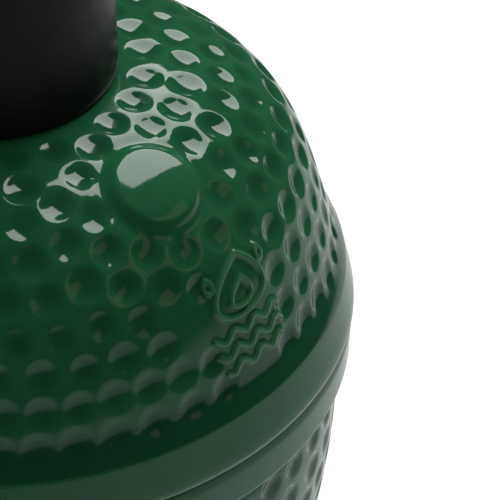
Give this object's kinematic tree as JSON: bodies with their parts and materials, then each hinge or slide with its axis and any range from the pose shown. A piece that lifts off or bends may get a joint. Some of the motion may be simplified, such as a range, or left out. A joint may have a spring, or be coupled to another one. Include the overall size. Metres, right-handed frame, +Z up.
{
  "type": "ceramic charcoal smoker",
  "caption": "Egg-shaped glazed ceramic charcoal smoker: hinged dimpled lid, chimney vent under a soft black cap, sliding draft door, grid, water pan and fire box.",
  "frame": {"origin": "middle of the flat foot, on the surface that the smoker stands on", "axes": "+Z up along the egg's axis, -Y towards the front with the handle and draft door, +Y towards the hinge, +X to the right as seen from the front"},
  "size_m": [0.34, 0.4126, 0.4789],
  "materials": {
    "green_glaze": "glossy",
    "felt": "matt",
    "fired_clay": "matt",
    "cast_iron": "satin",
    "steel": "brushed",
    "black_steel": "satin",
    "silicone": "satin",
    "wood": "oiled",
    "black_plastic": "satin",
    "dial": "matt",
    "needle_red": "satin",
    "glass": "polished"
  },
  "bodies": {
    "base": {"base_gasket": "felt", "base_shell": "green_glaze", "charcoal_grate": "cast_iron", "cooking_grid": "steel", "draft_frame": "steel", "draft_screw_lower_left": "steel", "draft_screw_lower_right": "steel", "draft_screw_upper_left": "steel", "draft_screw_upper_right": "steel", "fire_box": "fired_clay", "fire_ring": "fired_clay", "heat_deflector": "fired_clay", "hinge_base_bolt_left": "black_steel", "hinge_base_bolt_right": "black_steel", "hinge_base_bracket": "black_steel", "hinge_base_nut_left": "steel", "hinge_base_nut_right": "steel", "hinge_clip": "steel", "hinge_pin": "steel", "water_pan": "steel"},
    "lid": {"lid_shell": "green_glaze", "lid_gasket": "felt", "neck_gasket": "felt", "vent_base": "cast_iron", "vent_hood": "cast_iron", "vent_bolt": "steel", "vent_knob": "black_plastic", "handle_bracket_left": "black_steel", "handle_bracket_right": "black_steel", "handle_bar": "wood", "handle_screw_left": "steel", "handle_screw_right": "steel", "hinge_lid_bracket": "black_steel", "thermometer_case": "steel", "thermometer_dial": "dial", "thermometer_glass": "glass", "thermometer_stem": "steel", "thermometer_nut": "steel", "handle_bolt_left": "black_steel", "handle_bolt_right": "black_steel", "handle_nut_left": "steel", "handle_nut_right": "steel", "hinge_lid_bolt_left": "black_steel", "hinge_lid_bolt_right": "black_steel", "hinge_lid_nut_left": "steel", "hinge_lid_nut_right": "steel"},
    "daisy_wheel": {"daisy_wheel": "cast_iron"},
    "rain_cover": {"rain_cover": "silicone"},
    "draft_door": {"draft_door": "steel", "draft_knob": "black_plastic"},
    "draft_screen": {"draft_screen": "steel"},
    "thermometer_needle": {"thermometer_needle": "needle_red"}
  },
  "joints": [
    {"name": "lid_hinge", "type": "hinge", "parent": "base", "child": "lid", "pos_m": [0, 0.186, 0.2404], "axis": [-1, 0, 0], "range_deg": [0, 72]},
    {"name": "cover_lift", "type": "slide", "parent": "lid", "child": "rain_cover", "axis": [0, 0, 1], "range_m": [0, 0.11]},
    {"name": "daisy_turn", "type": "hinge", "parent": "lid", "child": "daisy_wheel", "pos_m": [0, 0, 0.40511], "axis": [0, 0, 1], "range_deg": [0, 36]},
    {"name": "door_slide", "type": "slide", "parent": "base", "child": "draft_door", "axis": [1, 0, 0], "range_m": [0, 0.068]},
    {"name": "screen_slide", "type": "slide", "parent": "base", "child": "draft_screen", "axis": [-1, 0, 0], "range_m": [0, 0.068]},
    {"name": "needle_turn", "type": "hinge", "parent": "lid", "child": "thermometer_needle", "pos_m": [0, -0.16305, 0.31088], "axis": [0, -0.9555, 0.295], "range_deg": [-260, 0]}
  ]
}
